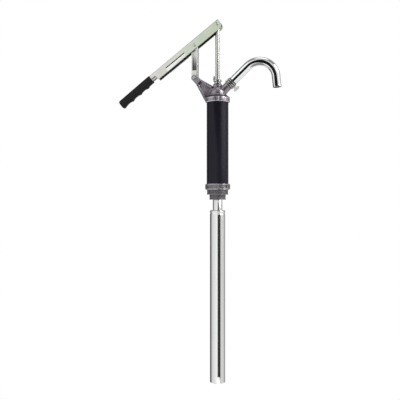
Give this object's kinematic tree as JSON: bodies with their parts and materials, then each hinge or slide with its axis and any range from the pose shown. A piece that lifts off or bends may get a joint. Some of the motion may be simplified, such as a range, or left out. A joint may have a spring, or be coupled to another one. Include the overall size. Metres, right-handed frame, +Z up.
{
  "type": "lever action drum barrel pump",
  "caption": "Lever-action piston barrel pump with black cylinder, curved swivel spout, bung adapter and telescoping suction tube.",
  "frame": {"origin": "on the pump axis, in the plane where the bung adapter's flange sits on the drum head", "axes": "+Z up along the pump axis, +X towards the spout, -X towards the handle"},
  "size_m": [0.4635, 0.0706, 1.0029],
  "materials": {
    "cast_metal": "rough sand-cast, dark grey with a light sheen",
    "black_paint": "satin black stove enamel",
    "zinc_plate": "bright zinc plating with a faint green-yellow passivate",
    "bright_steel": "plain bright steel",
    "chrome": "polished chrome plating",
    "vinyl": "fine-textured black vinyl",
    "rubber": "moulded black rubber",
    "brass": "machined",
    "aluminium": "machined casting"
  },
  "bodies": {
    "pump_body": {"head_casting": "cast_metal", "bottom_cap": "cast_metal", "cylinder_tube": "black_paint", "bottom_gasket": "rubber", "head_gasket": "rubber", "foot_valve_seat": "brass", "foot_valve_cage": "bright_steel", "inner_suction_tube": "zinc_plate", "suction_stop_collar": "brass", "gland_packing": "rubber", "gland_nut": "zinc_plate", "gland_tab_washer": "zinc_plate", "spout_socket": "zinc_plate", "spout_seal_ring": "rubber", "fulcrum_pin": "bright_steel", "fulcrum_pin_clip": "bright_steel"},
    "rod": {"piston_rod": "zinc_plate", "piston_body": "aluminium", "piston_cup": "rubber", "cup_retainer_plate": "bright_steel", "piston_nut": "bright_steel", "valve_stop_ring": "bright_steel"},
    "handle": {"handle_channel": "zinc_plate", "handle_grip": "vinyl", "handle_pin": "bright_steel", "handle_pin_clip": "bright_steel", "link_rivet_front": "bright_steel", "link_rivet_back": "bright_steel"},
    "link": {"fulcrum_link": "zinc_plate"},
    "spout": {"spout_tube": "chrome"},
    "lock_screw": {"spout_thumb_screw": "zinc_plate"},
    "suction_extension": {"outer_suction_tube": "zinc_plate", "suction_wiper_seal": "rubber"},
    "foot_valve": {"foot_valve_disc": "brass"},
    "piston_valve": {"piston_valve_disc": "brass"}
  },
  "joints": [
    {"name": "rod_stroke", "type": "slide", "parent": "pump_body", "child": "rod", "axis": [0, 0, 1], "range_m": [-0.11512, 0]},
    {"name": "handle_pivot", "type": "hinge", "parent": "rod", "child": "handle", "pos_m": [0, 0, 0.458], "axis": [0, 1, 0], "range_deg": [0, 85.2]},
    {"name": "link_pivot", "type": "hinge", "parent": "pump_body", "child": "link", "pos_m": [-0.064, 0, 0.311], "axis": [0, 1, 0], "range_deg": [0, 1.79]},
    {"name": "spout_swivel", "type": "hinge", "parent": "pump_body", "child": "spout", "pos_m": [0, 0, 0.2585], "axis": [0.7254, 0, 0.6884], "range_deg": [-90, 90]},
    {"name": "lock_screw_turn", "type": "hinge", "parent": "pump_body", "child": "lock_screw", "pos_m": [0.03772, 0, 0.29429], "axis": [0.6884, 0, -0.7254], "range_deg": [0, 180]},
    {"name": "suction_extension_slide", "type": "slide", "parent": "pump_body", "child": "suction_extension", "axis": [0, 0, -1], "range_m": [0, 0.4]},
    {"name": "foot_valve_lift", "type": "slide", "parent": "pump_body", "child": "foot_valve", "axis": [0, 0, 1], "range_m": [0, 0.006]},
    {"name": "piston_valve_lift", "type": "slide", "parent": "rod", "child": "piston_valve", "axis": [0, 0, 1], "range_m": [0, 0.005]}
  ],
  "couplings": [
    {"joint": "handle_pivot", "follows": "rod_stroke", "rad_per_m": -12.915},
    {"joint": "link_pivot", "follows": "rod_stroke", "rad_per_m": -0.26986}
  ]
}
